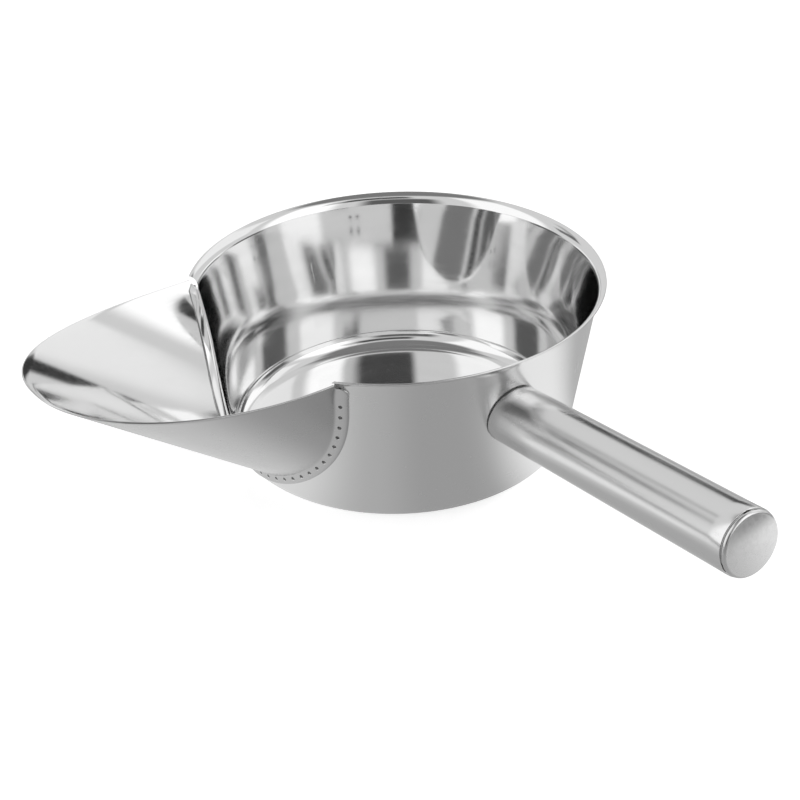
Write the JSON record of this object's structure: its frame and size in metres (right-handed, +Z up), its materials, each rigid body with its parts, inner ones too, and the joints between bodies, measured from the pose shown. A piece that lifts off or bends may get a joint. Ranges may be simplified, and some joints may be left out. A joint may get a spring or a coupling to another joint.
{
  "type": "candle melting pot",
  "caption": "Shallow open sheet-steel melting pot with a wide welded pouring spout and a tubular side handle.",
  "frame": {"origin": "centre of the pot's flat base, on the surface it stands on", "axes": "+Z up; +X from the pot's centre towards the end of the handle; -Y towards the pouring spout"},
  "size_m": [0.3079, 0.2564, 0.0798],
  "materials": {
    "pot_steel": "mirror-polished inside, fine satin outside",
    "spout_steel": "polished stainless sheet",
    "tube_steel": "polished stainless tube",
    "cup_steel": "plain stainless, out of sight inside the tube",
    "cap_steel": "satin stainless disc",
    "spot_weld": "dull grey dished weld marks",
    "tack_weld": "dull dark tack welds"
  },
  "bodies": {
    "root": {"pot_body": "pot_steel", "spout_sheet": "spout_steel", "spout_spot_welds": "spot_weld", "handle_tube": "tube_steel", "handle_root_cup": "cup_steel", "handle_root_welds": "spot_weld", "handle_end_cap": "cap_steel", "cap_tack_welds": "tack_weld"}
  },
  "joints": []
}
